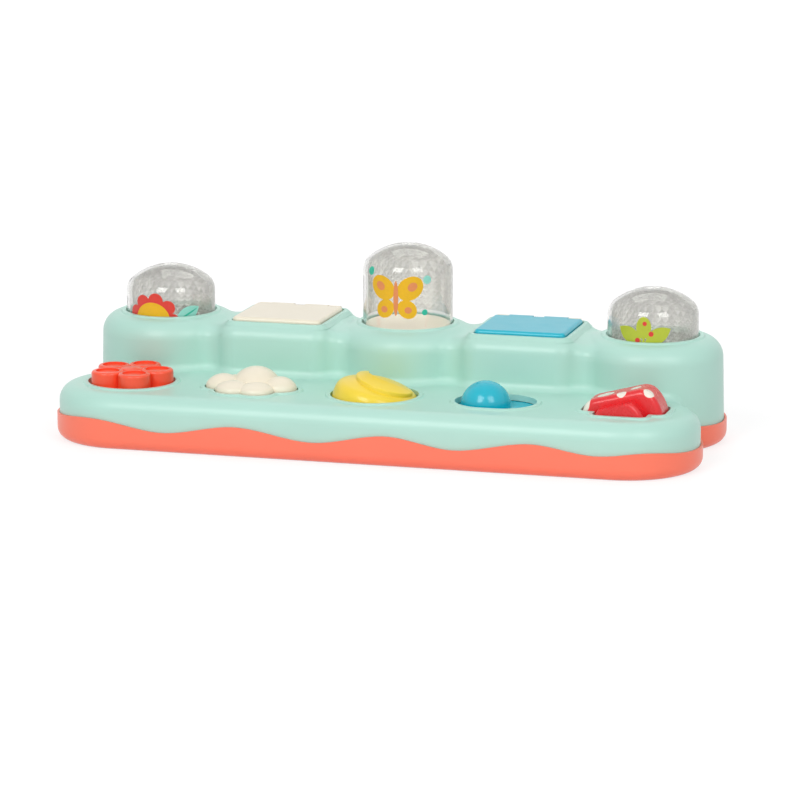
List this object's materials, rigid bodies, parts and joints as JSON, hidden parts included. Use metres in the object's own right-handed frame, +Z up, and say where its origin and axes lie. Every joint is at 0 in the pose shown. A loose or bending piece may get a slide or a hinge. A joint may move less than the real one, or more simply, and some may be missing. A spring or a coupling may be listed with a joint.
{
  "type": "pop-up toy",
  "caption": "Toddler's pop-up toy: a flower knob, cloud button, moon rocker, ball slider and mushroom rocker release clear domes and flip lids.",
  "frame": {"origin": "on the flat underside, at the middle of the toy's length and depth", "axes": "+X along the row to the mushroom's end, +Y to the rear row of domes and lids, +Z up"},
  "size_m": [0.389, 0.1618, 0.111],
  "materials": {
    "mint_plastic": "satin moulded",
    "coral_plastic": "satin moulded",
    "clear_plastic": "clear moulded",
    "cream_plastic": "satin moulded",
    "orange_plastic": "satin moulded",
    "yellow_plastic": "satin moulded",
    "blue_plastic": "gloss moulded",
    "red_plastic": "satin moulded",
    "white_plastic": "plain moulded",
    "steel": "drawn"
  },
  "bodies": {
    "body": {"upper_shell": "mint_plastic", "base_tray": "coral_plastic", "base_screws": "steel", "lever_clips": "steel", "moon_pin": "steel", "mushroom_pin": "steel", "left_lid_tray": "cream_plastic", "right_lid_tray": "cream_plastic", "left_lid_pin": "steel", "right_lid_pin": "steel", "left_dome_spring": "steel", "centre_dome_spring": "steel", "right_dome_spring": "steel", "cloud_spring": "steel", "left_lid_spring": "steel", "right_lid_spring": "steel"},
    "flower": {"flower_knob": "orange_plastic"},
    "cloud": {"cloud_button": "cream_plastic"},
    "moon": {"moon_rocker": "yellow_plastic"},
    "ball": {"ball_slider": "blue_plastic"},
    "mushroom": {"mushroom_rocker": "red_plastic"},
    "left_popup": {"left_dome": "clear_plastic", "left_carrier": "cream_plastic"},
    "centre_popup": {"centre_dome": "clear_plastic", "centre_carrier": "cream_plastic"},
    "right_popup": {"right_dome": "clear_plastic", "right_carrier": "cream_plastic"},
    "left_lid": {"left_lid": "cream_plastic"},
    "right_lid": {"right_lid": "blue_plastic"},
    "flower_lever": {"flower_lever": "white_plastic"},
    "cloud_lever": {"cloud_lever": "white_plastic"},
    "moon_lever": {"moon_lever": "white_plastic"},
    "ball_lever": {"ball_lever": "white_plastic"},
    "mushroom_lever": {"mushroom_lever": "white_plastic"}
  },
  "joints": [
    {"name": "flower_turn", "type": "hinge", "parent": "body", "child": "flower", "pos_m": [-0.15, -0.0364, 0.0275], "axis": [0, 0, 1], "range_deg": [0, 45]},
    {"name": "cloud_press", "type": "slide", "parent": "body", "child": "cloud", "axis": [0, 0, -1], "range_m": [0, 0.005], "stiffness_N_per_m": 300, "springref_m": -0.002, "deforming": ["cloud_spring"]},
    {"name": "moon_rock", "type": "hinge", "parent": "body", "child": "moon", "pos_m": [0, -0.0364, 0.0275], "axis": [0, -1, 0], "range_deg": [0, 25]},
    {"name": "ball_slide", "type": "slide", "parent": "body", "child": "ball", "axis": [1, 0, 0], "range_m": [0, 0.012]},
    {"name": "mushroom_rock", "type": "hinge", "parent": "body", "child": "mushroom", "pos_m": [0.15, -0.0364, 0.0275], "axis": [0, 1, 0], "range_deg": [0, 30]},
    {"name": "left_dome_lift", "type": "slide", "parent": "body", "child": "left_popup", "axis": [0, 0, 1], "range_m": [0, 0.0195], "deforming": ["left_dome_spring"]},
    {"name": "centre_dome_lift", "type": "slide", "parent": "body", "child": "centre_popup", "axis": [0, 0, 1], "range_m": [-0.0195, 0], "stiffness_N_per_m": 50, "springref_m": 0.03, "deforming": ["centre_dome_spring"]},
    {"name": "right_dome_lift", "type": "slide", "parent": "body", "child": "right_popup", "axis": [0, 0, 1], "range_m": [0, 0.0195], "deforming": ["right_dome_spring"]},
    {"name": "left_lid_flip", "type": "hinge", "parent": "body", "child": "left_lid", "pos_m": [-0.075, 0.061, 0.0631], "axis": [-1, 0, 0], "range_deg": [0, 95]},
    {"name": "right_lid_flip", "type": "hinge", "parent": "body", "child": "right_lid", "pos_m": [0.075, 0.061, 0.0631], "axis": [-1, 0, 0], "range_deg": [0, 95]},
    {"name": "flower_lever_swing", "type": "hinge", "parent": "body", "child": "flower_lever", "pos_m": [-0.15, -0.0059, 0.012], "axis": [0, 0, 1], "range_deg": [-26.67, 0]},
    {"name": "cloud_lever_swing", "type": "hinge", "parent": "body", "child": "cloud_lever", "pos_m": [-0.075, -0.0059, 0.012], "axis": [0, 0, 1], "range_deg": [-10.86, 0]},
    {"name": "moon_lever_swing", "type": "hinge", "parent": "body", "child": "moon_lever", "pos_m": [0, -0.0059, 0.012], "axis": [0, 0, 1], "range_deg": [0, 18.65]},
    {"name": "ball_lever_swing", "type": "hinge", "parent": "body", "child": "ball_lever", "pos_m": [0.073, -0.0059, 0.012], "axis": [0, 0, 1], "range_deg": [0, 35.99]},
    {"name": "mushroom_lever_swing", "type": "hinge", "parent": "body", "child": "mushroom_lever", "pos_m": [0.15, -0.0059, 0.012], "axis": [0, 0, 1], "range_deg": [-22.21, 0]}
  ],
  "couplings": [
    {"joint": "flower_lever_swing", "follows": "flower_turn", "ratio": -0.59149},
    {"joint": "cloud_lever_swing", "follows": "cloud_press", "rad_per_m": -37.737},
    {"joint": "moon_lever_swing", "follows": "moon_rock", "ratio": 0.74416},
    {"joint": "ball_lever_swing", "follows": "ball_slide", "rad_per_m": 52.27},
    {"joint": "mushroom_lever_swing", "follows": "mushroom_rock", "ratio": -0.73879}
  ]
}
